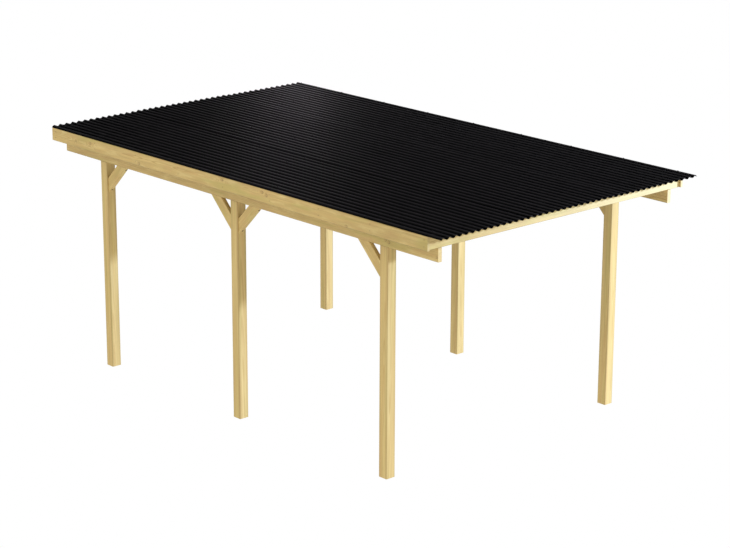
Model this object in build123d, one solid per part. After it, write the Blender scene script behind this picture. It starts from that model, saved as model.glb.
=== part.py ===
from build123d import *

import os
from math import cos, radians, sin, sqrt

# An open timber carport: six notched posts in two rows, a beam along each row on knee braces,
# cross rafters between two fascia boards, and a level roof of lapped corrugated sheets.
# +X runs along the length to the front, where the roof reaches out furthest, +Y to the right-hand
# row of posts as seen from the front, and +Z up. The origin is on the ground, under the middle
# of the roof.

# Roof sheets: their waves run along the length, with tighter bends at the crests than in the troughs.
# Each sheet's left edge turns down almost to a trough, and its right edge ends on a flank.
wave_pitch = 70.8
wave_height = 18
flank_angle = 42
crest_bend_share = 0.35
left_edge_share = 0.35
right_edge_share = 0.33
sheet_thickness = 3
sheet_count = 3
waves_per_sheet = 16
lap_waves = 2
sheet_clearance = 0.3
rear_sheet_reach = 5
front_sheet_reach = 157

# Timber sections
post_side = 95
beam_thickness = 40
beam_depth = 120
brace_thickness = 40
brace_width = 100
rafter_thickness = 40
rafter_depth = 120
fascia_thickness = 24
fascia_depth = 120
arris = 3

# Layout of the frame
clear_height = 2018
beam_length = 5100
rear_cantilever = 550
front_cantilever = 585
post_places = ("rear", "middle", "front")
brace_reach = 290
brace_inset = 12
rafter_count = 9
rafter_setback = 2
rear_fascia_reach = 33
front_fascia_reach = 17
side_overhang = 136
cut_overrun = 5

# Sizes and places that follow from those above
roof_waves = sheet_count * waves_per_sheet - (sheet_count - 1) * lap_waves
left_edge_run = left_edge_share * wave_pitch
right_edge_run = right_edge_share * wave_pitch
sheet_width = left_edge_run + (waves_per_sheet - 1) * wave_pitch + right_edge_run
roof_width = left_edge_run + (roof_waves - 1) * wave_pitch + right_edge_run
fascia_length = rear_fascia_reach + beam_length + front_fascia_reach
roof_length = rear_sheet_reach + fascia_length + front_sheet_reach
roof_rear = -roof_length / 2
fascia_rear = roof_rear + rear_sheet_reach
beam_rear = fascia_rear + rear_fascia_reach
row_outer_face = roof_width / 2 - side_overhang
post_bay = (beam_length - rear_cantilever - front_cantilever - post_side) / (len(post_places) - 1)
rear_post_x = beam_rear + rear_cantilever + post_side / 2
rafter_length = roof_width - 2 * fascia_thickness
rafter_spacing = (beam_length - 2 * rafter_setback - rafter_thickness) / (rafter_count - 1)
beam_top = clear_height + beam_depth
rafter_top = beam_top + rafter_depth


def timber(along_x, along_y, along_z, grain):
    """A planed bar, centred on its own middle, with the edges along its grain eased."""
    bar = Box(along_x, along_y, along_z)
    return chamfer(bar.edges().filter_by(grain), arris)


def post(x):
    """A right-hand post. Its outer half stops at a shoulder, where the beam rests against a tongue."""
    shaft = timber(post_side, post_side, beam_top, Axis.Z)
    shaft = Pos(x, row_outer_face - post_side / 2, beam_top / 2) * shaft
    housing = Box(
        post_side + 2 * cut_overrun,
        beam_thickness + cut_overrun,
        beam_depth + cut_overrun,
        align=(Align.CENTER, Align.MIN, Align.MIN),
    )
    return shaft - Pos(x, row_outer_face - beam_thickness, clear_height) * housing


def beam():
    """The right-hand beam, flush with the outer faces of its posts."""
    bar = timber(beam_length, beam_thickness, beam_depth, Axis.X)
    return Pos(
        beam_rear + beam_length / 2,
        row_outer_face - beam_thickness / 2,
        clear_height + beam_depth / 2,
    ) * bar


def brace(post_x, towards):
    """A right-hand knee brace from a post's side up to the beam, set in from their outer faces."""
    foot_x = post_x + towards * post_side / 2
    inner_reach = brace_reach - brace_width * sqrt(2)
    outline = Polyline(
        (foot_x, clear_height - brace_reach),
        (foot_x, clear_height - inner_reach),
        (foot_x + towards * inner_reach, clear_height),
        (foot_x + towards * brace_reach, clear_height),
        close=True,
    )
    face = Plane.XZ.offset(brace_inset - row_outer_face) * make_face(outline)
    bar = extrude(face, amount=brace_thickness, dir=(0, -1, 0))
    grain = Axis((0, 0, 0), (towards, 0, 1))
    return chamfer(bar.edges().filter_by(grain), arris)


def rafter(number):
    """A cross rafter that stands on both beams, between the fascia boards."""
    x = beam_rear + rafter_setback + rafter_thickness / 2 + number * rafter_spacing
    bar = timber(rafter_thickness, rafter_length, rafter_depth, Axis.Y)
    return Pos(x, 0, beam_top + rafter_depth / 2) * bar


def fascia():
    """The right-hand fascia board, fixed to the rafter ends with its top edge under the roof's edge."""
    board = timber(fascia_length, fascia_thickness, fascia_depth, Axis.X)
    return Pos(
        fascia_rear + fascia_length / 2,
        roof_width / 2 - fascia_thickness / 2,
        rafter_top - fascia_depth / 2,
    ) * board


def wave_line(height):
    """One side of a sheet's section, from trough to trough: bends joined by straight flanks."""
    angle = radians(flank_angle)
    half_pitch = wave_pitch / 2
    bend_radii = (half_pitch * sin(angle) - wave_height * cos(angle)) / (1 - cos(angle))
    crest_radius = crest_bend_share * bend_radii
    trough_radius = bend_radii - crest_radius
    crest_run = crest_radius * sin(angle)
    trough_run = trough_radius * sin(angle)
    half_run = trough_radius * sin(angle / 2)
    half_rise = trough_radius * (1 - cos(angle / 2))
    low = height
    high = height + wave_height
    foot_height = low + trough_radius * (1 - cos(angle))
    head_height = high - crest_radius * (1 - cos(angle))
    pieces = []
    for wave in range(waves_per_sheet):
        start = wave * wave_pitch
        crest = start + half_pitch
        end = start + wave_pitch
        rise_foot = (start + trough_run, foot_height)
        rise_head = (crest - crest_run, head_height)
        fall_head = (crest + crest_run, head_height)
        fall_foot = (end - trough_run, foot_height)
        pieces += [
            ThreePointArc((start, low), (start + half_run, low + half_rise), rise_foot),
            Line(rise_foot, rise_head),
            ThreePointArc(rise_head, (crest, high), fall_head),
            Line(fall_head, fall_foot),
            ThreePointArc(fall_foot, (end - half_run, low + half_rise), (end, low)),
        ]
    return pieces


def roof_sheet(number):
    """A corrugated sheet, cut to its edges. Every second one lies over the laps of its neighbours."""
    left_edge = number * (waves_per_sheet - lap_waves) * wave_pitch - roof_width / 2
    raised = (number % 2) * (sheet_thickness + sheet_clearance)
    underside = rafter_top + sheet_clearance + raised
    lower = wave_line(underside)
    upper = wave_line(underside + sheet_thickness)
    ends = [Line(lower[0] @ 0, upper[0] @ 0), Line(lower[-1] @ 1, upper[-1] @ 1)]
    waves = extrude(Plane.YZ * make_face(lower + upper + ends), amount=roof_length)
    strip = Box(
        roof_length,
        sheet_width,
        wave_height + sheet_thickness + 2 * cut_overrun,
        align=(Align.MIN, Align.MIN, Align.MIN),
    )
    waves = Pos(roof_rear, left_edge + left_edge_run - wave_pitch / 2, 0) * waves
    return waves & Pos(roof_rear, left_edge, underside - cut_overrun) * strip


def right_row():
    """The pieces of the right-hand row, by the last part of their names."""
    row = {"beam": beam(), "fascia": fascia()}
    for number, place in enumerate(post_places):
        x = rear_post_x + number * post_bay
        row[f"post_{place}"] = post(x)
        if place != post_places[0]:
            row[f"brace_{place}_rearward"] = brace(x, -1)
        if place != post_places[-1]:
            row[f"brace_{place}_forward"] = brace(x, 1)
    return row


nodes = {}
for name, piece in right_row().items():
    nodes[f"right_{name}"] = piece
    nodes[f"left_{name}"] = mirror(piece, about=Plane.XZ)
for number in range(rafter_count):
    nodes[f"rafter_{number + 1}"] = rafter(number)
for number in range(sheet_count):
    nodes[f"roof_sheet_{number + 1}"] = roof_sheet(number)

os.makedirs("parts", exist_ok=True)
for name, piece in nodes.items():
    export_step(piece, f"parts/{name}.step")
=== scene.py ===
"""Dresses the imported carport: treated pine, black corrugated sheets, screws, studio light and camera."""

import logging
from collections.abc import Callable, Iterator
from contextlib import contextmanager
from dataclasses import dataclass, replace
from enum import Enum
from math import radians
from random import Random

import bmesh
import bpy
from mathutils import Euler, Matrix, Vector


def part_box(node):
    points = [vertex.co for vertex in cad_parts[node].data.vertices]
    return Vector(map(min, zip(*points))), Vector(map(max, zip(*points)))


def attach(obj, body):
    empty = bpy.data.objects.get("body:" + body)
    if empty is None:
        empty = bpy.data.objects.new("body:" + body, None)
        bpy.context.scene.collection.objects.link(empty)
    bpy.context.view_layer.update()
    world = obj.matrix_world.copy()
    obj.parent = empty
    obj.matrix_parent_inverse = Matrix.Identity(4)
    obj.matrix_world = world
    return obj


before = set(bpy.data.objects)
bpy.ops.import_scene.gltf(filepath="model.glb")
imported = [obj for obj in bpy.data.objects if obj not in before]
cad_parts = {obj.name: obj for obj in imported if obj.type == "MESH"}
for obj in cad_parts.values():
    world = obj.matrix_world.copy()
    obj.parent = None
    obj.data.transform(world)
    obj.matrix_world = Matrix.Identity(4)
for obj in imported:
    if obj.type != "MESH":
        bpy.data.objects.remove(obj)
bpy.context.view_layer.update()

Colour = tuple[float, float, float]
Triple = tuple[float, float, float]
Span = tuple[float, float]
Socket = bpy.types.NodeSocket

FULL_TURN = radians(360)
QUARTER_TURN = radians(90)
EIGHTH_TURN = radians(45)
KNOT_OUT_OF_REACH = 10.0

log = logging.getLogger("carport")


class Grain(Enum):
    """The way a timber's grain runs, as the turn about X, Y and Z that lays it along X."""

    ALONG = (0, 0, 0)
    ACROSS = (0, 0, -QUARTER_TURN)
    UPRIGHT = (0, QUARTER_TURN, 0)
    RISING_FORWARD = (0, EIGHTH_TURN, 0)
    RISING_REARWARD = (0, -EIGHTH_TURN, 0)


class Side(Enum):
    """The side of a piece that faces away from the middle of the carport, or towards it."""

    OUTER = "outer"
    INNER = "inner"


class MeshPart(Enum):
    """The parts of a mesh that can be picked."""

    EDGE = "edges"
    FACE = "faces"


class ShaderBench:
    """Adds nodes to one shader tree and links them."""

    # The colour sockets of a Mix node have numbers, because its other kinds of socket share their names
    MIX_FIRST = 6
    MIX_SECOND = 7
    MIX_RESULT = 2

    def __init__(self, tree: bpy.types.NodeTree) -> None:
        """Takes a tree and clears it."""
        self.tree = tree
        tree.nodes.clear()

    def add(self, kind: str, values: dict | None = None, **settings: object) -> bpy.types.Node:
        """Adds a node and fills its inputs.

        Args:
            kind: The node's type.
            values: For an input's name or number, the socket to link to it or the value to set.
            settings: Properties of the node.

        Returns:
            The new node.
        """
        node = self.tree.nodes.new(kind)
        for name, value in settings.items():
            setattr(node, name, value)
        for key, value in (values or {}).items():
            if isinstance(value, Socket):
                self.tree.links.new(value, node.inputs[key])
            else:
                node.inputs[key].default_value = value
        return node

    def math(self, operation: str, *terms: float | Socket) -> Socket:
        """Adds a Math node.

        Args:
            operation: Its operation.
            terms: Its inputs, in order.

        Returns:
            Its result.
        """
        return self.add("ShaderNodeMath", dict(enumerate(terms)), operation=operation).outputs[0]

    def fade(self, value: Socket, start: float, end: float, low: float = 0.0, high: float = 1.0) -> Socket:
        """Adds a smooth step.

        Args:
            value: What is read.
            start: Where the step begins.
            end: Where it ends.
            low: The result before it.
            high: The result after it.

        Returns:
            The stepped value.
        """
        values = {"Value": value, "From Min": start, "From Max": end, "To Min": low, "To Max": high}
        return self.add("ShaderNodeMapRange", values, interpolation_type="SMOOTHSTEP").outputs[0]

    def spread(self, value: Socket, low: float, high: float) -> Socket:
        """Stretches a value from 0 to 1 over another range.

        Args:
            value: What is read.
            low: The result at 0.
            high: The result at 1.

        Returns:
            The stretched value.
        """
        return self.add("ShaderNodeMapRange", {"Value": value, "To Min": low, "To Max": high}).outputs[0]

    def blend(self, share: float | Socket, first: Colour | Socket, second: Colour | Socket,
              way: str = "MIX") -> Socket:
        """Mixes two colours.

        Args:
            share: How much of the second is taken.
            first: The colour below.
            second: The colour above.
            way: The blend mode.

        Returns:
            The mixed colour.
        """
        values = {"Factor": share}
        for key, colour in {self.MIX_FIRST: first, self.MIX_SECOND: second}.items():
            values[key] = colour if isinstance(colour, Socket) else (*colour, 1.0)
        node = self.add("ShaderNodeMix", values, data_type="RGBA", blend_type=way)
        return node.outputs[self.MIX_RESULT]

    def stretched(self, point: Socket, scale: Triple) -> Socket:
        """Scales a point along its three axes."""
        return self.add("ShaderNodeVectorMath", {0: point, 1: scale}, operation="MULTIPLY").outputs[0]

    def noise(self, point: Socket, scale: Triple, detail: float) -> Socket:
        """Adds fractal noise.

        Args:
            point: Where it is read.
            scale: Its frequency along each axis, in waves a metre.
            detail: How many finer octaves it has.

        Returns:
            A value about 0.5.
        """
        values = {"Vector": self.stretched(point, scale), "Scale": 1.0, "Detail": detail}
        return self.add("ShaderNodeTexNoise", values).outputs["Fac"]


def shader_group(name: str, inputs: dict[str, str],
                 outputs: dict[str, str]) -> tuple[ShaderBench, bpy.types.Node, bpy.types.Node]:
    """Starts a shader node group.

    Args:
        name: The group's name.
        inputs: Its inputs, each with its kind of socket.
        outputs: Its outputs, each with its kind of socket.

    Returns:
        The bench of the group's tree, its input node and its output node.
    """
    tree = bpy.data.node_groups.new(name, "ShaderNodeTree")
    for way, sockets in (("INPUT", inputs), ("OUTPUT", outputs)):
        for label, kind in sockets.items():
            tree.interface.new_socket(label, in_out=way, socket_type=f"NodeSocket{kind}")
    bench = ShaderBench(tree)
    return bench, bench.add("NodeGroupInput"), bench.add("NodeGroupOutput")


def new_material(name: str) -> tuple[bpy.types.Material, ShaderBench]:
    """Makes an empty node material.

    Args:
        name: The material's name.

    Returns:
        The material and the bench of its tree.
    """
    material = bpy.data.materials.new(name)
    material.use_nodes = True
    return material, ShaderBench(material.node_tree)


def surface(bench: ShaderBench, values: dict) -> None:
    """Adds the Principled shader and the material's output.

    Args:
        bench: The bench of the material's tree.
        values: What goes into the shader's inputs.
    """
    shader = bench.add("ShaderNodeBsdfPrincipled", values)
    bench.add("ShaderNodeOutputMaterial", {"Surface": shader.outputs[0]})


@dataclass(frozen=True)
class Knot:
    """A knot at a set place on a timber's face: its place in the frame and its half sizes."""

    place: Triple
    along: float = 0.021
    across: float = 0.014


@dataclass(frozen=True)
class PineGrain:
    """The shared grain of sawn pine: rings about a heart line, fibres, knots and treatment stains.

    Lengths are in metres, and the grain runs along X of the point that the group is given. A band is the
    two values between which a mask rises from 0 to 1.
    """

    name: str

    # Growth rings, whose late wood comes slowly and ends sharply
    early_wood: Colour = (0.625, 0.455, 0.170)
    late_wood: Colour = (0.455, 0.292, 0.084)
    late_start_band: Span = (0.30, 0.82)
    late_end_band: Span = (1.0, 0.90)
    ring_shades: Span = (0.30, 1.0)
    ring_height: float = 0.5
    ring_drift: float = 0.022
    drift_scale: Triple = (1.9, 7, 7)
    drift_detail: int = 2

    # Fibres and streaks
    fibre_scale: Triple = (9, 520, 520)
    fibre_detail: int = 3
    fibre_shades: Span = (0.90, 1.10)
    fibre_roughness: Span = (0.52, 0.68)
    fibre_height: float = 0.5
    streak_scale: Triple = (3.2, 52, 52)
    streak_detail: int = 3
    streak_shades: Span = (0.80, 1.20)

    # Patches, treatment stains, and painted light that pales the wood
    patch_scale: Triple = (6.0, 24, 24)
    patch_detail: int = 3
    rose_patch: Colour = (0.560, 0.365, 0.135)
    rose_band: Span = (0.52, 0.32)
    rose_share: float = 0.60
    cream_patch: Colour = (0.700, 0.545, 0.225)
    cream_band: Span = (0.52, 0.70)
    cream_share: float = 0.50
    stain_scale: Triple = (1.8, 10, 10)
    stain_detail: int = 2
    olive_stain: Colour = (0.480, 0.392, 0.112)
    stain_band: Span = (0.52, 0.70)
    stain_share: float = 0.60
    painted_light_colour: Colour = (0.740, 0.610, 0.300)

    # Knots, measured from the middle, with 1 at the rim
    knot_heart: Colour = (0.430, 0.268, 0.092)
    heart_band: Span = (1.05, 0.70)
    heart_share: float = 0.55
    knot_bark: Colour = (0.150, 0.082, 0.030)
    bark_start_band: Span = (0.66, 0.94)
    bark_end_band: Span = (1.26, 1.00)
    bark_side_band: Span = (-0.7, 0.6)
    bark_shares: Span = (0.06, 0.62)
    swirl_band: Span = (4.0, 0.6)
    knot_swirl: float = 0.014
    knot_cell_shares: Span = (0.07, 0.12)

    # Sawn ends, and eased edges painted darker as painted shade, most of all the lower ones, told by the
    # normal
    end_grain: Colour = (0.690, 0.540, 0.270)
    end_grain_share: float = 0.38
    end_roughness: float = 0.20
    end_band: Span = (0.75, 0.95)
    edge_painted_shades: Span = (0.52, 0.98)
    edge_band: Span = (0.3, 0.6)
    painted_shade_upward_band: Span = (-0.5, 0.5)

    def group(self) -> bpy.types.NodeTree:
        """Builds the node group.

        Returns:
            A group that gives Colour, Roughness and Height for a point and the normal there. Tone
            multiplies the colour, and Painted Light is the share of wood painted paler as painted light.
            Knot Cells scales the point to the cells that knots are drawn in, Knots is the share of cells
            that hold one, and Set Knot gives the reach and the side of the nearest set knot, as X and Y.
        """
        inputs = {"Point": "Vector", "Normal": "Vector", "Ring Width": "Float", "Tone": "Float",
                  "Bleach": "Float", "Knots": "Float", "Knot Cells": "Vector", "Set Knot": "Vector"}
        outputs = {"Colour": "Color", "Roughness": "Float", "Height": "Float"}
        bench, given, result = shader_group(self.name, inputs, outputs)
        point = given.outputs["Point"]
        heart, bark, swirl = self.knots(bench, given)
        late, ring_shade = self.rings(bench, point, swirl, given.outputs["Ring Width"])
        end_face, edge_painted_shade = self.faces(bench, given.outputs["Normal"])
        fibre = bench.noise(point, self.fibre_scale, self.fibre_detail)
        streak = bench.noise(point, self.streak_scale, self.streak_detail)

        colour = bench.blend(bench.math("MULTIPLY", late, ring_shade), self.early_wood, self.late_wood)
        colour = self.stained(bench, point, colour)
        # Painted light: the wood is painted paler where the most light falls
        colour = bench.blend(given.outputs["Bleach"], colour, self.painted_light_colour)
        colour = bench.blend(bench.math("MULTIPLY", end_face, self.end_grain_share), colour, self.end_grain)
        colour = bench.blend(heart, colour, self.knot_heart)
        colour = bench.blend(bark, colour, self.knot_bark)
        shade = bench.spread(streak, *self.streak_shades)
        for factor in (bench.spread(fibre, *self.fibre_shades), given.outputs["Tone"], edge_painted_shade):
            shade = bench.math("MULTIPLY", shade, factor)
        grey = bench.add("ShaderNodeCombineColor", {0: shade, 1: shade, 2: shade}).outputs[0]
        colour = bench.blend(1.0, colour, grey, "MULTIPLY")

        roughness = bench.math("ADD", bench.spread(fibre, *self.fibre_roughness),
                               bench.spread(end_face, 0.0, self.end_roughness))
        height = bench.math("ADD", bench.math("MULTIPLY", fibre, self.fibre_height),
                            bench.math("MULTIPLY", late, self.ring_height))
        height = bench.math("SUBTRACT", height, bark)
        for label, socket in {"Colour": colour, "Roughness": roughness, "Height": height}.items():
            bench.tree.links.new(socket, result.inputs[label])
        return bench.tree

    def stained(self, bench: ShaderBench, point: Socket, colour: Socket) -> Socket:
        """Lays the rose and cream patches and the olive stains over the rings.

        Args:
            bench: The group's bench.
            point: Where the wood is read.
            colour: The colour of the rings.

        Returns:
            The stained colour.
        """
        patch = bench.noise(point, self.patch_scale, self.patch_detail)
        stain = bench.noise(point, self.stain_scale, self.stain_detail)
        rose = bench.fade(patch, *self.rose_band, 0.0, self.rose_share)
        cream = bench.fade(patch, *self.cream_band, 0.0, self.cream_share)
        olive = bench.fade(stain, *self.stain_band, 0.0, self.stain_share)
        colour = bench.blend(rose, colour, self.rose_patch)
        colour = bench.blend(cream, colour, self.cream_patch)
        return bench.blend(olive, colour, self.olive_stain)

    def knots(self, bench: ShaderBench, given: bpy.types.Node) -> tuple[Socket, Socket, Socket]:
        """Draws the scattered knots and the set one.

        Args:
            bench: The group's bench.
            given: The group's input node.

        Returns:
            The masks of a knot's heart and of the bark on one side of it, and how far the rings bend.
        """
        point, cells = given.outputs["Point"], given.outputs["Knot Cells"]
        place = bench.add("ShaderNodeVectorMath", {0: point, 1: cells}, operation="MULTIPLY").outputs[0]
        cell = bench.add("ShaderNodeTexVoronoi", {"Vector": place, "Scale": 1.0})
        draw = bench.add("ShaderNodeSeparateColor", {0: cell.outputs["Color"]})
        missing = bench.math("GREATER_THAN", draw.outputs[0], given.outputs["Knots"])
        size = bench.spread(draw.outputs[1], *self.knot_cell_shares)
        far = bench.math("MULTIPLY", missing, KNOT_OUT_OF_REACH)
        reach = bench.math("ADD", bench.math("DIVIDE", cell.outputs["Distance"], size), far)
        away = bench.add("ShaderNodeVectorMath", {0: place, 1: cell.outputs["Position"]},
                         operation="SUBTRACT")
        side = bench.add("ShaderNodeSeparateXYZ", {0: away.outputs[0]}).outputs["X"]
        scattered = self.knot_marks(bench, reach, bench.math("DIVIDE", side, size))
        own = bench.add("ShaderNodeSeparateXYZ", {0: given.outputs["Set Knot"]})
        placed = self.knot_marks(bench, own.outputs["X"], own.outputs["Y"])
        heart, bark, swirl = (bench.math("MAXIMUM", *pair) for pair in zip(scattered, placed))
        return heart, bark, swirl

    def knot_marks(self, bench: ShaderBench, reach: Socket, side: Socket) -> tuple[Socket, Socket, Socket]:
        """Draws one knot.

        Args:
            bench: The group's bench.
            reach: The distance from the knot's middle, with 1 at its rim.
            side: The same along the grain, with its sign.

        Returns:
            The masks of its heart and of its bark, and how far the rings bend round it.
        """
        heart = bench.fade(reach, *self.heart_band, 0.0, self.heart_share)
        rim = bench.math("MULTIPLY", bench.fade(reach, *self.bark_start_band),
                         bench.fade(reach, *self.bark_end_band))
        bark = bench.math("MULTIPLY", rim, bench.fade(side, *self.bark_side_band, *self.bark_shares))
        return heart, bark, bench.fade(reach, *self.swirl_band, 0.0, self.knot_swirl)

    def rings(self, bench: ShaderBench, point: Socket, swirl: Socket,
              width: Socket) -> tuple[Socket, Socket]:
        """Cuts the growth rings.

        Args:
            bench: The group's bench.
            point: Where the wood is read.
            swirl: How far the rings bend there.
            width: The width of a ring.

        Returns:
            The mask of late wood, and how dark each ring's late wood is.
        """
        split = bench.add("ShaderNodeSeparateXYZ", {0: point})
        square = [bench.math("MULTIPLY", split.outputs[axis], split.outputs[axis]) for axis in ("Y", "Z")]
        radius = bench.math("SQRT", bench.math("ADD", *square))
        drift = bench.noise(point, self.drift_scale, self.drift_detail)
        wander = bench.spread(drift, -self.ring_drift, self.ring_drift)
        radius = bench.math("ADD", bench.math("ADD", radius, wander), swirl)
        count = bench.math("DIVIDE", radius, width)
        step = bench.math("FRACT", count)
        late = bench.math("MULTIPLY", bench.fade(step, *self.late_start_band),
                          bench.fade(step, *self.late_end_band))
        draw = bench.add("ShaderNodeTexWhiteNoise", {"W": bench.math("FLOOR", count)}, noise_dimensions="1D")
        return late, bench.spread(draw.outputs["Value"], *self.ring_shades)

    def faces(self, bench: ShaderBench, normal: Socket) -> tuple[Socket, Socket]:
        """Tells sawn ends and eased edges from the faces.

        Args:
            bench: The group's bench.
            normal: The normal, turned as the point is.

        Returns:
            The mask of the sawn ends, and the painted shade of the eased edges, darkest on the lower ones,
            which is 1 on the faces.
        """
        split = bench.add("ShaderNodeSeparateXYZ", {0: normal})
        along, side, depth = (bench.math("ABSOLUTE", split.outputs[axis]) for axis in ("X", "Y", "Z"))
        edge = bench.fade(bench.math("MINIMUM", side, depth), *self.edge_band)
        # Painted shade: lower eased edges are painted darker than upper ones
        lower, upper = (shade - 1.0 for shade in self.edge_painted_shades)
        shade = bench.fade(split.outputs["Z"], *self.painted_shade_upward_band, lower, upper)
        change = bench.math("MULTIPLY", edge, shade)
        return bench.fade(along, *self.end_band), bench.math("ADD", 1.0, change)


@dataclass(frozen=True)
class TreatedPine:
    """The finish of one timber, cut from its own log."""

    grain: Grain
    wood: PineGrain = PineGrain("board_grain")
    ring_width: float = 0.0060
    heart_reach: Span = (0.025, 0.080)
    heart_tilt_deg: float = 1.3
    log_length: float = 40.0
    knot_cell: Triple = (0.200, 3.000, 0.140)
    knot_share: float = 0.30
    set_knots: tuple[Knot, ...] = ()
    tone: float = 1.0
    tone_spread: float = 0.012
    # Darkens an upright towards its four edges
    edge_darkening: float = 0.0
    edge_reach: Span = (0.40, 1.0)
    # Painted light and shade: the tone changes towards the front
    front_painted_tone: float = 1.0
    front_run: Span = (0.9, 2.2)
    # Painted light: a timber across the carport is painted paler towards the right, where the most light
    # falls
    painted_light: float = 0.0
    painted_light_run: Span = (-2.1, 1.3)
    bump_depth: float = 0.0012
    bump_strength: float = 0.30
    shine: float = 0.35

    def material(self, node: str, pine: bpy.types.NodeTree) -> bpy.types.Material:
        """Makes the material of one timber.

        Args:
            node: The timber's CAD node, whose name also draws its log.
            pine: The node group of its wood.

        Returns:
            The material.
        """
        draw = Random(node)
        side = Matrix.Rotation(draw.uniform(0, FULL_TURN), 3, "X")
        heart = side @ Vector((0, 0, draw.uniform(*self.heart_reach)))
        heart.x = draw.uniform(0, self.log_length)
        tilts = [radians(draw.uniform(-self.heart_tilt_deg, self.heart_tilt_deg)) for _ in range(2)]
        tone = self.tone + draw.uniform(-self.tone_spread, self.tone_spread)
        low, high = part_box(node)
        grain = Euler(self.grain.value)
        tilted = (Euler((0, *tilts)).to_matrix() @ grain.to_matrix()).to_euler()
        centre = tilted.to_matrix() @ ((Vector(low) + Vector(high)) / 2)

        material, bench = new_material(f"pine_{node}")
        read = bench.add("ShaderNodeTexCoord")
        place = read.outputs["Object"]
        point = bench.add("ShaderNodeMapping", {
            "Vector": place,
            "Location": heart - centre,
            "Rotation": tilted,
        })
        normal = bench.add("ShaderNodeMapping", {"Vector": read.outputs["Normal"], "Rotation": grain},
                           vector_type="NORMAL")
        wood = bench.add("ShaderNodeGroup", {
            "Point": point.outputs[0],
            "Normal": normal.outputs[0],
            "Ring Width": self.ring_width,
            "Tone": self.toned(bench, place, low, high, tone),
            "Bleach": self.painted_lighting(bench, place),
            "Knots": self.knot_share,
            "Knot Cells": tuple(1 / length for length in self.knot_cell),
            "Set Knot": self.nearest_knot(bench, place),
        }, node_tree=pine)
        bump = bench.add("ShaderNodeBump", {"Strength": self.bump_strength, "Distance": self.bump_depth,
                                            "Height": wood.outputs["Height"]})
        surface(bench, {"Base Color": wood.outputs["Colour"], "Roughness": wood.outputs["Roughness"],
                        "Specular IOR Level": self.shine, "Normal": bump.outputs[0]})
        return material

    def toned(self, bench: ShaderBench, place: Socket, low: Triple, high: Triple,
              tone: float) -> float | Socket:
        """Changes the tone of a timber towards the front, as painted light and shade, or darkens an upright
        one towards its four edges.

        Args:
            bench: The material's bench.
            place: Where the wood is read, in the frame.
            low: The lower corner of the timber's box.
            high: Its upper corner.
            tone: The tone at the rear, or in the middle of a face.

        Returns:
            The tone at the place, or the plain tone where it doesn't change.
        """
        if self.front_painted_tone != 1.0:
            forward = bench.add("ShaderNodeSeparateXYZ", {0: place}).outputs["X"]
            return bench.fade(forward, *self.front_run, tone, tone * self.front_painted_tone)
        if not self.edge_darkening:
            return tone
        sides = [(first, last, last - first) for first, last in zip(low, high)]
        box_place = bench.add("ShaderNodeMapping", {
            "Vector": place,
            "Location": tuple(-(first + last) / length for first, last, length in sides),
            "Scale": tuple(2 / length for _, _, length in sides),
        })
        split = bench.add("ShaderNodeSeparateXYZ", {0: box_place.outputs[0]})
        edge = bench.math("MINIMUM", *(bench.math("ABSOLUTE", split.outputs[axis]) for axis in ("X", "Y")))
        return bench.fade(edge, *self.edge_reach, tone, tone * (1 - self.edge_darkening))

    def painted_lighting(self, bench: ShaderBench, place: Socket) -> float | Socket:
        """Paints a timber that runs across the carport paler, more and more towards the right, as painted
        light.

        Args:
            bench: The material's bench.
            place: Where the wood is read, in the frame.

        Returns:
            The share of painted light at the place, or 0 where none is painted.
        """
        if not self.painted_light:
            return 0.0
        across = bench.add("ShaderNodeSeparateXYZ", {0: place}).outputs["Y"]
        return bench.fade(across, *self.painted_light_run, 0.0, self.painted_light)

    def nearest_knot(self, bench: ShaderBench, place: Socket) -> Socket | Triple:
        """Measures from the nearest of the set knots, which run through the board's thickness.

        Args:
            bench: The material's bench.
            place: Where the wood is read, in the frame.

        Returns:
            The reach and the side of the nearest knot, as X and Y.
        """
        if not self.set_knots:
            return KNOT_OUT_OF_REACH, 0.0, 0.0
        reach: float | Socket = KNOT_OUT_OF_REACH
        side: float | Socket = 0.0
        for knot in self.set_knots:
            away = bench.add("ShaderNodeVectorMath", {0: place, 1: knot.place}, operation="SUBTRACT")
            scaled = bench.stretched(away.outputs[0], (1 / knot.along, 0, 1 / knot.across))
            length = bench.add("ShaderNodeVectorMath", {0: scaled}, operation="LENGTH").outputs["Value"]
            offset = bench.add("ShaderNodeSeparateXYZ", {0: scaled}).outputs["X"]
            nearer = bench.math("LESS_THAN", length, reach)
            side = bench.add("ShaderNodeMix", {"Factor": nearer, "A": side, "B": offset}).outputs[0]
            reach = bench.math("MINIMUM", length, reach)
        return bench.add("ShaderNodeCombineXYZ", {"X": reach, "Y": side}).outputs[0]


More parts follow.
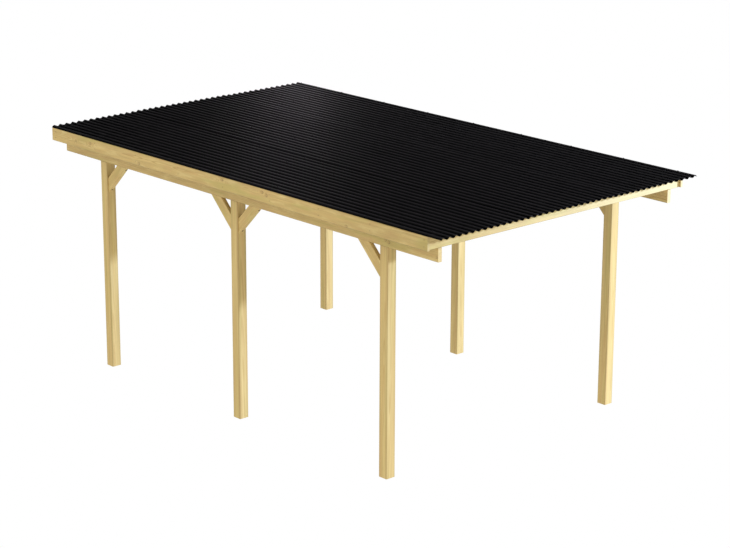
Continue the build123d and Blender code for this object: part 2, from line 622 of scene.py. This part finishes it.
@dataclass(frozen=True)
class SatinBlackSheet:
    """The finish of the roof sheets: satin black with drawing lines, paler along the crests, with the
    troughs painted near black as painted shade.
    """

    # Painted shade: the troughs are painted near black, the crests paler
    trough: Colour = (0.0002, 0.0002, 0.0002)
    crest: Colour = (0.0224, 0.0200, 0.0225)
    roughness: Span = (0.52, 0.60)
    trough_matting: float = 0.46
    trough_shade_band: Span = (0.46, 0.99)
    unshaded_shares: Span = (0.7, 1.3)
    cloud_scale: Triple = (2.2, 7, 7)
    cloud_detail: int = 4
    line_scale: Triple = (0.6, 700, 700)
    line_detail: int = 2
    line_strength: float = 0.08
    line_depth: float = 0.001

    def material(self, name: str, trough: float, crest: float) -> bpy.types.Material:
        """Makes the material of one sheet.

        Args:
            name: The material's name.
            trough: The height of the troughs.
            crest: The height of the crests.

        Returns:
            The material.
        """
        material, bench = new_material(name)
        place = bench.add("ShaderNodeTexCoord").outputs["Object"]
        height = bench.add("ShaderNodeSeparateXYZ", {0: place}).outputs["Z"]
        cloud = bench.noise(place, self.cloud_scale, self.cloud_detail)
        lines = bench.noise(place, self.line_scale, self.line_detail)
        # Painted shade darkens the troughs; the crests stay paler, clouded
        start, end = (trough + share * (crest - trough) for share in self.trough_shade_band)
        low = bench.fade(height, end, start)
        unshaded = bench.math("MULTIPLY", bench.math("SUBTRACT", 1.0, low),
                          bench.spread(cloud, *self.unshaded_shares))
        colour = bench.blend(unshaded, self.trough, self.crest)
        roughness = bench.math("ADD", bench.spread(lines, *self.roughness),
                               bench.math("MULTIPLY", low, self.trough_matting))
        bump = bench.add("ShaderNodeBump", {"Strength": self.line_strength, "Distance": self.line_depth,
                                            "Height": lines})
        surface(bench, {"Base Color": colour, "Roughness": roughness, "Normal": bump.outputs[0]})
        return material


@dataclass(frozen=True)
class CoatedSteel:
    """The finish of a screw: steel with a thin coat that is rubbed in places."""

    coat: Colour
    rubbed: Colour
    metallic: float
    roughness: Span
    shine: float = 0.5
    patch_scale: Triple = (160, 160, 160)
    patch_detail: int = 3
    rubbed_band: Span = (0.50, 0.70)
    bump_depth: float = 0.0005
    bump_strength: float = 0.1

    def material(self, name: str) -> bpy.types.Material:
        """Makes the material.

        Args:
            name: The material's name.

        Returns:
            The material.
        """
        material, bench = new_material(name)
        place = bench.add("ShaderNodeTexCoord").outputs["Object"]
        patch = bench.noise(place, self.patch_scale, self.patch_detail)
        colour = bench.blend(bench.fade(patch, *self.rubbed_band), self.coat, self.rubbed)
        bump = bench.add("ShaderNodeBump", {"Strength": self.bump_strength, "Distance": self.bump_depth,
                                            "Height": patch})
        surface(bench, {"Base Color": colour, "Roughness": bench.spread(patch, *self.roughness),
                        "Specular IOR Level": self.shine, "Metallic": self.metallic,
                        "Normal": bump.outputs[0]})
        return material


@dataclass(frozen=True)
class TimberFrame:
    """The posts, beams, braces, rafters and fascia boards, which keep their CAD shapes."""

    post_wood: PineGrain = PineGrain(
        "post_grain", stain_share=0.40, ring_shades=(0.12, 0.55), ring_drift=0.016,
        drift_scale=(0.55, 6, 6), streak_scale=(1.0, 46, 46), patch_scale=(0.9, 26, 26),
        stain_scale=(0.7, 30, 30), edge_painted_shades=(0.90, 0.90))
    brace_wood: PineGrain = PineGrain("brace_grain", edge_painted_shades=(0.97, 0.97))
    # Right-hand timbers' sawn ends, painted paler as painted light where the key light falls strongest
    painted_light_ends_wood: PineGrain = PineGrain("pale_ended_grain", end_grain_share=0.80)
    fascia_knots: tuple[Knot, ...] = (
        Knot((-2.271, -1.546, 2.198), 0.016, 0.010),
        Knot((-2.040, -1.546, 2.212)),
        Knot((-1.286, -1.546, 2.158)),
        Knot((-0.082, -1.546, 2.234), 0.024, 0.010),
        Knot((0.462, -1.546, 2.227)),
        Knot((0.519, -1.546, 2.210), 0.019, 0.015),
        Knot((1.538, -1.546, 2.148), 0.018, 0.011),
    )
    beam_knots: tuple[Knot, ...] = (
        Knot((1.866, -1.410, 2.077), 0.016, 0.014),
        Knot((1.903, -1.410, 2.064), 0.019, 0.014),
        Knot((2.464, -1.410, 2.058), 0.011, 0.010),
    )
    post_finish: TreatedPine = TreatedPine(
        Grain.UPRIGHT, post_wood, heart_reach=(0.012, 0.050), knot_share=0.0, tone=0.98, edge_darkening=0.11)
    forward_brace_finish: TreatedPine = TreatedPine(Grain.RISING_FORWARD, brace_wood)
    rearward_brace_finish: TreatedPine = TreatedPine(Grain.RISING_REARWARD, brace_wood)
    # Rafters: the raised tone and the paler wood towards the right are painted light
    rafter_finish: TreatedPine = TreatedPine(Grain.ACROSS, tone=1.03, painted_light=0.70)
    right_finish: TreatedPine = TreatedPine(Grain.ALONG, painted_light_ends_wood, tone=0.98)
    # Painted shade darkens the near fascia towards the front, and painted light brightens the near beam
    # there
    left_fascia_finish: TreatedPine = TreatedPine(
        Grain.ALONG, knot_share=0.0, set_knots=fascia_knots, tone=0.98, front_painted_tone=0.92)
    left_beam_finish: TreatedPine = replace(left_fascia_finish, set_knots=beam_knots, front_painted_tone=1.06)

    def finish_of(self, node: str) -> TreatedPine | None:
        """Finds the finish of a node by its name.

        Args:
            node: The CAD node.

        Returns:
            Its finish, or None where it isn't a timber.
        """
        finishes = {
            "post": self.post_finish,
            "forward": self.forward_brace_finish,
            "rearward": self.rearward_brace_finish,
            "rafter": self.rafter_finish,
            "left_fascia": self.left_fascia_finish,
            "left_beam": self.left_beam_finish,
            "right_fascia": self.right_finish,
            "right_beam": self.right_finish,
        }
        return next((finish for word, finish in finishes.items() if word in node), None)

    def dress(self) -> None:
        """Gives every timber the grain of its own log."""
        groups: dict[PineGrain, bpy.types.NodeTree] = {}
        for name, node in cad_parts.items():
            finish = self.finish_of(name)
            if finish:
                if finish.wood not in groups:
                    groups[finish.wood] = finish.wood.group()
                node.material_slots[0].material = finish.material(name, groups[finish.wood])
                log.info("%s: pine, grain %s", name, finish.grain.name.lower())


@dataclass(frozen=True)
class RoofSheets:
    """The corrugated sheets, which keep their CAD shapes."""

    finish: SatinBlackSheet = SatinBlackSheet()

    def dress(self) -> None:
        """Gives every sheet its satin black."""
        for name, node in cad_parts.items():
            if name.startswith("roof_sheet"):
                low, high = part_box(name)
                node.material_slots[0].material = self.finish.material(f"satin_{name}", low[2], high[2])
                log.info("%s: satin black", name)


@contextmanager
def editing(piece: bpy.types.Object) -> Iterator[None]:
    """Keeps a piece in edit mode for a while.

    Args:
        piece: The piece.
    """
    bpy.context.view_layer.objects.active = piece
    bpy.ops.object.mode_set(mode="EDIT")
    yield
    bpy.ops.object.mode_set(mode="OBJECT")


def pick(piece: bpy.types.Object, part: MeshPart,
         wanted: Callable[[bmesh.types.BMEdge | bmesh.types.BMFace], bool]) -> None:
    """Selects only some of the edges or faces of a piece in edit mode.

    Args:
        piece: The piece.
        part: Whether edges or faces are picked.
        wanted: Tells whether an edge or a face is selected.
    """
    bpy.ops.mesh.select_mode(type=part.name)
    bpy.ops.mesh.select_all(action="DESELECT")
    mesh = bmesh.from_edit_mesh(piece.data)
    for element in (mesh.edges if part is MeshPart.EDGE else mesh.faces):
        element.select_set(wanted(element))
    bmesh.update_edit_mesh(piece.data)


@dataclass(frozen=True)
class ScrewHead:
    """A round screw head, modelled about the origin with its axis along Z and its seat at Z = 0."""

    radius: float
    rise: float
    sunk: float
    rim: float
    recess_radius: float
    recess_depth: float
    sides: int = 12
    rim_segments: int = 2
    level_normal: float = 0.99
    smooth_deg: float = 40.0

    def model(self, name: str) -> bpy.types.Object:
        """Models the head: a disc with a rounded rim and a recess for the bit.

        Args:
            name: The object's name.

        Returns:
            The head.
        """
        depth = self.rise + self.sunk
        bpy.ops.object.select_all(action="DESELECT")
        bpy.ops.mesh.primitive_cylinder_add(vertices=self.sides, radius=self.radius, depth=depth,
                                            location=(0, 0, self.rise - depth / 2))
        head = bpy.context.object
        head.name = name
        bpy.ops.object.transform_apply(location=True, rotation=True, scale=True)
        top = self.rise - self.rim / 2
        with editing(head):
            pick(head, MeshPart.EDGE, lambda edge: all(vert.co.z > top for vert in edge.verts))
            bpy.ops.mesh.bevel(offset=self.rim, segments=self.rim_segments, affect="EDGES")
            pick(head, MeshPart.FACE, lambda face: face.normal.z > self.level_normal)
            bpy.ops.mesh.inset(thickness=self.radius - self.rim - self.recess_radius)
            bpy.ops.mesh.extrude_region_move(TRANSFORM_OT_translate={"value": (0, 0, -self.recess_depth)})
            bpy.ops.mesh.select_all(action="SELECT")
            bpy.ops.mesh.normals_make_consistent(inside=False)
        bpy.ops.object.shade_smooth_by_angle(angle=radians(self.smooth_deg))
        return head


@dataclass(frozen=True)
class Seat:
    """A screw's place: the middle of its head's seat and the way its axis points out of the wood."""

    place: Vector
    outward: Vector

    def matrix(self) -> Matrix:
        """Gives the move from the origin to this seat."""
        return Matrix.Translation(self.place) @ self.outward.to_track_quat("Z", "Y").to_matrix().to_4x4()


@dataclass(frozen=True)
class ScrewSet:
    """Screws of one kind, kept as one joined mesh."""

    name: str
    head: ScrewHead
    finish: CoatedSteel
    slot: str

    def build(self, seats: list[Seat]) -> bpy.types.Object:
        """Models one head and copies it to every seat.

        Args:
            seats: Where the screws go.

        Returns:
            The joined screws.
        """
        head = self.head.model(self.name)
        head.data.materials.append(self.finish.material(f"{self.name}_finish"))
        copies = []
        for seat in seats[1:]:
            copy = head.copy()
            copy.data = head.data.copy()
            copy.data.transform(seat.matrix())
            bpy.context.collection.objects.link(copy)
            copies.append(copy)
        head.data.transform(seats[0].matrix())
        bpy.ops.object.select_all(action="DESELECT")
        for piece in (*copies, head):
            piece.select_set(True)
        bpy.context.view_layer.objects.active = head
        bpy.ops.object.join()
        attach(head, "root")
        log.info("%s: %d screws", self.name, len(seats))
        return head


@dataclass(frozen=True)
class Layout:
    """The places of the CAD nodes that the screws go through."""

    near: float = 0.0005
    crest_gap: float = 0.030

    def named(self, word: str) -> list[tuple[str, Vector, Vector]]:
        """Finds the nodes whose names hold a word.

        Args:
            word: What their names hold.

        Returns:
            Each node's name and the two corners of its box.
        """
        found = sorted(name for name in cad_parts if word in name)
        return [(name, *(Vector(corner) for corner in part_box(name))) for name in found]

    def face(self, low: Vector, high: Vector, side: Side) -> tuple[float, Vector]:
        """Finds the outer or the inner face of a box.

        Args:
            low: The box's lower corner.
            high: Its upper corner.
            side: Which face is wanted.

        Returns:
            The face's place along Y, and the way it is turned.
        """
        on_the_right = low.y + high.y > 0
        if on_the_right == (side is Side.OUTER):
            return high.y, Vector((0, 1, 0))
        return low.y, Vector((0, -1, 0))

    def crests(self) -> list[Vector]:
        """Finds the crests of the roof sheets.

        Returns:
            A point on each crest, in order across the roof.
        """
        tops: dict[int, Vector] = {}
        for name, low, high in self.named("roof_sheet"):
            rear = [vert.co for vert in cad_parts[name].data.vertices if vert.co.x < low.x + self.near]
            ridge = sorted(point.y for point in rear if point.z > high.z - self.near)
            groups: list[list[float]] = []
            for y in ridge:
                if groups and y - groups[-1][-1] < self.crest_gap:
                    groups[-1].append(y)
                else:
                    groups.append([y])
            for group in groups:
                middle = (group[0] + group[-1]) / 2
                key = round(middle / self.crest_gap)
                if key not in tops or tops[key].z < high.z:
                    tops[key] = Vector((0, middle, high.z))
        return [tops[key] for key in sorted(tops)]


@dataclass(frozen=True)
class Screws:
    """The screws that hold the frame and the roof together."""

    braces: ScrewSet = ScrewSet(
        "brace_screws",
        ScrewHead(radius=0.0080, rise=0.0030, sunk=0.004, rim=0.0012,
                  recess_radius=0.0034, recess_depth=0.0022),
        CoatedSteel(coat=(0.064, 0.034, 0.010), rubbed=(0.110, 0.066, 0.024),
                    metallic=0.2, roughness=(0.50, 0.75)),
        "fixings")
    joints: ScrewSet = ScrewSet(
        "beam_screws",
        ScrewHead(radius=0.0060, rise=0.0026, sunk=0.004, rim=0.0010,
                  recess_radius=0.0026, recess_depth=0.0019),
        CoatedSteel(coat=(0.170, 0.112, 0.052), rubbed=(0.250, 0.180, 0.095),
                    metallic=0.4, roughness=(0.45, 0.70)),
        "fixings")
    boards: ScrewSet = ScrewSet(
        "fascia_screws",
        ScrewHead(radius=0.0040, rise=0.0018, sunk=0.003, rim=0.0007,
                  recess_radius=0.0018, recess_depth=0.0013),
        CoatedSteel(coat=(0.330, 0.230, 0.098), rubbed=(0.430, 0.330, 0.170),
                    metallic=0.4, roughness=(0.45, 0.70)),
        "fixings")
    roof: ScrewSet = ScrewSet(
        "roof_screws",
        ScrewHead(radius=0.0070, rise=0.0030, sunk=0.002, rim=0.0018,
                  recess_radius=0.0026, recess_depth=0.0016),
        CoatedSteel(coat=(0.0115, 0.0110, 0.0118), rubbed=(0.0135, 0.0127, 0.0137),
                    metallic=0.0, roughness=(0.54, 0.66)),
        "roof_sheet")
    brace_end: float = 0.042
    joint_rises: tuple[float, ...] = (0.040, 0.080)
    board_rises: tuple[float, ...] = (0.032, 0.088)
    first_crest: int = 1
    crest_step: int = 3
    layout: Layout = Layout()

    def build(self) -> None:
        """Drives every screw."""
        self.braces.build(self.brace_seats())
        self.joints.build(self.joint_seats())
        self.boards.build(self.board_seats())
        self.roof.build(self.roof_seats())

    def brace_seats(self) -> list[Seat]:
        """Finds the seats on the braces.

        Returns:
            Two seats on the lower face of each brace, near the post and near the beam.
        """
        seats = []
        for name, low, high in self.layout.named("brace"):
            way = 1 if name.endswith("forward") else -1
            middle = (low.y + high.y) / 2
            foot = Vector((low.x if way > 0 else high.x, middle, low.z))
            head = Vector((high.x if way > 0 else low.x, middle, high.z))
            inset = (head - foot).normalized() * self.brace_end
            outward = Vector((way, 0, -1)).normalized()
            seats += [Seat(foot + inset, outward), Seat(head - inset, outward)]
        return seats

    def joint_seats(self) -> list[Seat]:
        """Finds the seats where the posts' tongues are screwed to the beams.

        Returns:
            The seats, on the inner face of each post.
        """
        seats = []
        for beam, beam_low, _ in self.layout.named("beam"):
            row = beam.split("_")[0]
            for _, low, high in self.layout.named(f"{row}_post"):
                face, inward = self.layout.face(low, high, Side.INNER)
                middle = (low.x + high.x) / 2
                for rise in self.joint_rises:
                    seats.append(Seat(Vector((middle, face, beam_low.z + rise)), inward))
        return seats

    def board_seats(self) -> list[Seat]:
        """Finds the seats where the fascia boards are fixed to the rafters' ends.

        Returns:
            The seats, on the outer faces of the boards.
        """
        seats = []
        for _, board_low, board_high in self.layout.named("fascia"):
            face, outward = self.layout.face(board_low, board_high, Side.OUTER)
            for _, low, high in self.layout.named("rafter"):
                middle = (low.x + high.x) / 2
                for rise in self.board_rises:
                    seats.append(Seat(Vector((middle, face, board_low.z + rise)), outward))
        return seats

    def roof_seats(self) -> list[Seat]:
        """Finds the seats on the roof.

        Returns:
            The seats, on some of the crests above every rafter.
        """
        crests = self.layout.crests()[self.first_crest::self.crest_step]
        seats = []
        for _, low, high in self.layout.named("rafter"):
            middle = (low.x + high.x) / 2
            seats += [Seat(Vector((middle, crest.y, crest.z)), Vector((0, 0, 1))) for crest in crests]
        return seats


@dataclass(frozen=True)
class Lamp:
    """A round lamp, with its power in watts."""

    name: str
    place: Triple
    power: float
    radius: float
    tint: Colour

    def hang(self) -> bpy.types.Object:
        """Hangs the lamp at its place.

        Returns:
            The lamp.
        """
        light = bpy.data.lights.new(self.name, "POINT")
        light.energy = self.power
        light.shadow_soft_size = self.radius
        light.color = self.tint
        lamp = bpy.data.objects.new(self.name, light)
        lamp.location = self.place
        bpy.context.collection.objects.link(lamp)
        return lamp


@dataclass(frozen=True)
class Studio:
    """A white floor and surround, a cool key light for the wood and a low light that the roof mirrors."""

    floor_radius: float = 90.0
    floor_sides: int = 96
    white: Colour = (1.0, 1.0, 1.0)
    dark: Colour = (0.003, 0.003, 0.003)
    key: Lamp = Lamp(
        "key_light", place=(7.8, 8.5, 4.45), power=6000.0, radius=0.18, tint=(0.83, 1.06, 1.78))
    sheen: Lamp = Lamp(
        "roof_sheen", place=(-5.14, 3.62, 3.05), power=152.0, radius=0.25, tint=(0.98, 0.90, 1.0))

    def set_up(self) -> None:
        """Builds the floor, the surround and the lights."""
        self.floor()
        self.surround()
        self.key.hang().visible_glossy = False
        self.sheen.hang().visible_diffuse = False
        bpy.context.scene.view_settings.view_transform = "Standard"

    def floor(self) -> None:
        """Lays the floor, a white disc that glows and can be looked through from below."""
        bpy.ops.object.select_all(action="DESELECT")
        bpy.ops.mesh.primitive_circle_add(vertices=self.floor_sides, radius=self.floor_radius,
                                          fill_type="NGON")
        floor = bpy.context.object
        floor.name = "studio_floor"
        material, bench = new_material("white_floor")
        glow = bench.add("ShaderNodeEmission", {"Color": (*self.white, 1.0)})
        clear = bench.add("ShaderNodeBsdfTransparent")
        below = bench.add("ShaderNodeNewGeometry").outputs["Backfacing"]
        mix = bench.add("ShaderNodeMixShader", {0: below, 1: glow.outputs[0], 2: clear.outputs[0]})
        bench.add("ShaderNodeOutputMaterial", {"Surface": mix.outputs[0]})
        material.cycles.emission_sampling = "NONE"
        floor.data.materials.append(material)

    def surround(self) -> None:
        """Makes the surround white, and dark where it is mirrored."""
        world = bpy.data.worlds.new("surround")
        world.use_nodes = True
        bench = ShaderBench(world.node_tree)
        white = bench.add("ShaderNodeBackground", {"Color": (*self.white, 1.0)})
        dark = bench.add("ShaderNodeBackground", {"Color": (*self.dark, 1.0)})
        mirrored = bench.add("ShaderNodeLightPath").outputs["Is Glossy Ray"]
        mix = bench.add("ShaderNodeMixShader", {0: mirrored, 1: white.outputs[0], 2: dark.outputs[0]})
        bench.add("ShaderNodeOutputWorld", {"Surface": mix.outputs[0]})
        bpy.context.scene.world = world


@dataclass(frozen=True)
class PhotoCamera:
    """The camera at the photograph's place, with its heading measured from +X towards +Y."""

    place: Triple = (14.4559, -13.0775, 6.9113)
    heading_deg: float = 137.7256
    tilt_down_deg: float = 16.6228
    roll_deg: float = 0.1816
    lens_mm: float = 108.485
    sensor_mm: float = 36.0
    far: float = 400.0

    def set_up(self) -> None:
        """Makes the camera and gives it to the scene."""
        data = bpy.data.cameras.new("photo_camera")
        data.lens = self.lens_mm
        data.sensor_width = self.sensor_mm
        data.clip_end = self.far
        camera = bpy.data.objects.new("photo_camera", data)
        heading = Matrix.Rotation(radians(self.heading_deg) - QUARTER_TURN, 4, "Z")
        tilt = Matrix.Rotation(QUARTER_TURN - radians(self.tilt_down_deg), 4, "X")
        roll = Matrix.Rotation(radians(self.roll_deg), 4, "Z")
        camera.matrix_world = Matrix.Translation(self.place) @ heading @ tilt @ roll
        bpy.context.collection.objects.link(camera)
        bpy.context.scene.camera = camera


def main() -> None:
    """Builds the scene in order."""
    logging.basicConfig(level=logging.INFO, format="%(name)s: %(message)s")
    PhotoCamera().set_up()
    Studio().set_up()
    TimberFrame().dress()
    RoofSheets().dress()
    Screws().build()


if __name__ == "__main__":
    main()
